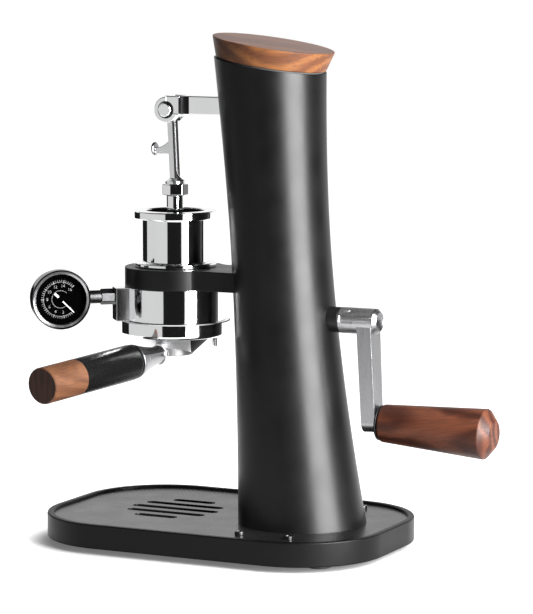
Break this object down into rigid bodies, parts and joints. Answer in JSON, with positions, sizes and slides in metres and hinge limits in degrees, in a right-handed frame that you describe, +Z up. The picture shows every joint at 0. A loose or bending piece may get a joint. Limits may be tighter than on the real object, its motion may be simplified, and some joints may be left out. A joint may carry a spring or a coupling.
{
  "type": "manual espresso maker",
  "caption": "Table-top crank-press espresso maker: leaning column with wood cap, arm-driven piston in a water cup, bayonet portafilter, side gauge and a slotted drip base.",
  "frame": {"origin": "centre of the bounding box, at table height under the feet", "axes": "+Z up, -Y to the user's side where the portafilter handle points, +X to the crank grip"},
  "size_m": [0.3426, 0.2423, 0.3762],
  "materials": {
    "black_coat": "matte black powder coat",
    "deck_coat": "satin black powder coat",
    "chrome": "polished",
    "steel": "brushed",
    "frame_plate": "milled",
    "bronze": "machined",
    "rubber": "moulded",
    "walnut": "oiled walnut",
    "black_plastic": "moulded",
    "dial_black": "matte black print",
    "needle_white": "matte white",
    "clear_glass": "clear"
  },
  "bodies": {
    "frame": {"base_body": "black_coat", "column_shell": "black_coat", "group_bracket": "black_coat", "deck_plate": "deck_coat", "water_cup": "chrome", "group_body": "chrome", "bayonet_collar": "chrome", "gauge_bezel": "chrome", "gauge_stem": "chrome", "gauge_union": "chrome", "stop_pin": "chrome", "deck_screws": "steel", "column_bolts": "steel", "frame_bolts": "steel", "bracket_screws": "steel", "screen_screw": "steel", "plate_spacers": "steel", "shower_screen": "steel", "drip_tray": "steel", "frame_foot": "frame_plate", "front_plate": "frame_plate", "rear_plate": "frame_plate", "rack_guide": "bronze", "shaft_bushes": "bronze", "gauge_movement": "bronze", "rubber_feet": "rubber", "cap_gasket": "rubber", "group_gasket": "rubber", "wood_cap": "walnut", "crank_bush": "black_plastic", "gauge_case": "black_plastic", "gauge_dial": "dial_black", "gauge_glass": "clear_glass"},
    "crank": {"crank_shaft": "steel", "drive_pinion": "bronze", "crank_hub": "chrome", "hub_screw": "steel", "crank_arm": "chrome", "grip_spindle": "steel", "grip_washer": "black_plastic"},
    "layshaft": {"lay_shaft": "steel", "lay_gear": "bronze", "lay_pinion": "bronze"},
    "lift": {"rack": "steel", "lift_arm": "chrome", "arm_screws": "steel", "arm_pin": "chrome", "plunger_rod": "chrome", "finger_knob": "chrome", "lock_nut": "chrome", "piston_rod": "chrome", "piston": "frame_plate", "piston_seal": "rubber"},
    "grip": {"crank_grip": "walnut"},
    "portafilter": {"portafilter_body": "chrome", "portafilter_basket": "steel", "handle_neck": "chrome", "handle_grip": "black_plastic", "handle_end": "walnut"},
    "needle": {"gauge_needle": "needle_white"}
  },
  "joints": [
    {"name": "crank_turn", "type": "hinge", "parent": "frame", "child": "crank", "pos_m": [0.0565, 0.03365, 0.1711], "axis": [-1, 0, 0], "range_deg": [0, 954.93]},
    {"name": "lay_turn", "type": "hinge", "parent": "frame", "child": "layshaft", "pos_m": [0.0065, 0.04465, 0.14977], "axis": [1, 0, 0], "range_deg": [0, 318.33]},
    {"name": "lift_slide", "type": "slide", "parent": "frame", "child": "lift", "axis": [0, 0, -1], "range_m": [0, 0.05001]},
    {"name": "grip_spin", "type": "hinge", "parent": "crank", "child": "grip", "pos_m": [0.08157, 0.03365, 0.0981], "axis": [0.9995, 0, -0.0305], "continuous": true},
    {"name": "portafilter_turn", "type": "hinge", "parent": "frame", "child": "portafilter", "pos_m": [-0.0835, 0.03365, 0.15], "axis": [0, 0, 1], "range_deg": [-45, 0]},
    {"name": "needle_turn", "type": "hinge", "parent": "frame", "child": "needle", "pos_m": [-0.14673, -0.02789, 0.1824], "axis": [-0.6428, 0.766, 0], "range_deg": [0, 270], "stiffness_Nm_per_rad": 0.0005}
  ],
  "couplings": [
    {"joint": "lay_turn", "follows": "crank_turn", "ratio": 0.33333},
    {"joint": "lift_slide", "follows": "crank_turn", "m_per_rad": 0.003}
  ]
}
